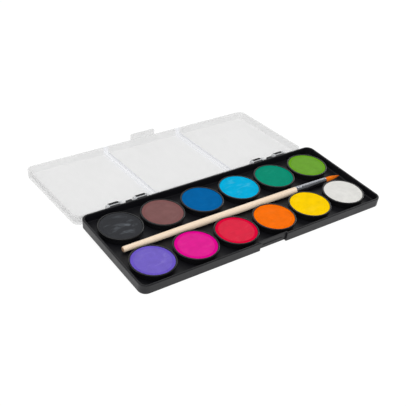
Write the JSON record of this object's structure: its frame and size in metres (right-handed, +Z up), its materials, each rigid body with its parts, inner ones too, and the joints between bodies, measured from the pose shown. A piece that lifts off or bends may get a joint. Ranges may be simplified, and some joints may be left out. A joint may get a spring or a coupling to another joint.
{
  "type": "watercolor pan set",
  "caption": "Shallow black watercolor tray with rows of round paint pans, a brush lying between them, and a frosted hinged lid that opens flat as a mixing palette.",
  "frame": {"origin": "centre of the open set's footprint, on the surface it rests on", "axes": "+X along the tray from its left end to its right end, +Y from the tray towards the open lid, +Z up"},
  "size_m": [0.1974, 0.1648, 0.0123],
  "materials": {
    "tray_plastic": "satin black injection moulding",
    "pan_plastic": "satin black injection moulding",
    "frosted_plastic": "frosted, see-through at its walls and whitish on its face",
    "handle_wood": "pale turned wood with a thin clear lacquer",
    "ferrule_aluminium": "bright drawn tube",
    "brush_hair": "orange synthetic hair",
    "paint_black": "dry pressed watercolour",
    "paint_brown": "dry pressed watercolour",
    "paint_blue": "dry pressed watercolour",
    "paint_cyan": "dry pressed watercolour",
    "paint_teal": "dry pressed watercolour",
    "paint_green": "dry pressed watercolour",
    "paint_violet": "dry pressed watercolour",
    "paint_magenta": "dry pressed watercolour",
    "paint_red": "dry pressed watercolour",
    "paint_orange": "dry pressed watercolour",
    "paint_yellow": "dry pressed watercolour",
    "paint_white": "dry pressed watercolour"
  },
  "bodies": {
    "tray": {"tray": "tray_plastic"},
    "lid": {"lid": "frosted_plastic"},
    "latch": {"latch_tab": "frosted_plastic"},
    "brush": {"brush_handle": "handle_wood", "brush_ferrule": "ferrule_aluminium", "brush_hair": "brush_hair"},
    "pan_black": {"pan_cup_black": "pan_plastic", "paint_black": "paint_black"},
    "pan_brown": {"pan_cup_brown": "pan_plastic", "paint_brown": "paint_brown"},
    "pan_blue": {"pan_cup_blue": "pan_plastic", "paint_blue": "paint_blue"},
    "pan_cyan": {"pan_cup_cyan": "pan_plastic", "paint_cyan": "paint_cyan"},
    "pan_teal": {"pan_cup_teal": "pan_plastic", "paint_teal": "paint_teal"},
    "pan_green": {"pan_cup_green": "pan_plastic", "paint_green": "paint_green"},
    "pan_violet": {"pan_cup_violet": "pan_plastic", "paint_violet": "paint_violet"},
    "pan_magenta": {"pan_cup_magenta": "pan_plastic", "paint_magenta": "paint_magenta"},
    "pan_red": {"pan_cup_red": "pan_plastic", "paint_red": "paint_red"},
    "pan_orange": {"pan_cup_orange": "pan_plastic", "paint_orange": "paint_orange"},
    "pan_yellow": {"pan_cup_yellow": "pan_plastic", "paint_yellow": "paint_yellow"},
    "pan_white": {"pan_cup_white": "pan_plastic", "paint_white": "paint_white"}
  },
  "joints": [
    {"name": "lid_hinge", "type": "hinge", "parent": "tray", "child": "lid", "pos_m": [0, -0.00004, 0.0099], "axis": [-1, 0, 0], "range_deg": [-184.11, 0]},
    {"name": "latch_flex", "type": "hinge", "parent": "lid", "child": "latch", "pos_m": [0, 0.08196, 0.0076], "axis": [-1, 0, 0], "range_deg": [0, 12], "stiffness_Nm_per_rad": 0.05},
    {"name": "brush_lift", "type": "slide", "parent": "tray", "child": "brush", "axis": [0, -0.0717, 0.9974], "range_m": [0, 0.02]},
    {"name": "pan_black_lift", "type": "slide", "parent": "tray", "child": "pan_black", "axis": [0, -0.0717, 0.9974], "range_m": [0, 0.015]},
    {"name": "pan_brown_lift", "type": "slide", "parent": "tray", "child": "pan_brown", "axis": [0, -0.0717, 0.9974], "range_m": [0, 0.015]},
    {"name": "pan_blue_lift", "type": "slide", "parent": "tray", "child": "pan_blue", "axis": [0, -0.0717, 0.9974], "range_m": [0, 0.015]},
    {"name": "pan_cyan_lift", "type": "slide", "parent": "tray", "child": "pan_cyan", "axis": [0, -0.0717, 0.9974], "range_m": [0, 0.015]},
    {"name": "pan_teal_lift", "type": "slide", "parent": "tray", "child": "pan_teal", "axis": [0, -0.0717, 0.9974], "range_m": [0, 0.015]},
    {"name": "pan_green_lift", "type": "slide", "parent": "tray", "child": "pan_green", "axis": [0, -0.0717, 0.9974], "range_m": [0, 0.015]},
    {"name": "pan_violet_lift", "type": "slide", "parent": "tray", "child": "pan_violet", "axis": [0, -0.0717, 0.9974], "range_m": [0, 0.015]},
    {"name": "pan_magenta_lift", "type": "slide", "parent": "tray", "child": "pan_magenta", "axis": [0, -0.0717, 0.9974], "range_m": [0, 0.015]},
    {"name": "pan_red_lift", "type": "slide", "parent": "tray", "child": "pan_red", "axis": [0, -0.0717, 0.9974], "range_m": [0, 0.015]},
    {"name": "pan_orange_lift", "type": "slide", "parent": "tray", "child": "pan_orange", "axis": [0, -0.0717, 0.9974], "range_m": [0, 0.015]},
    {"name": "pan_yellow_lift", "type": "slide", "parent": "tray", "child": "pan_yellow", "axis": [0, -0.0717, 0.9974], "range_m": [0, 0.015]},
    {"name": "pan_white_lift", "type": "slide", "parent": "tray", "child": "pan_white", "axis": [0, -0.0717, 0.9974], "range_m": [0, 0.015]}
  ]
}
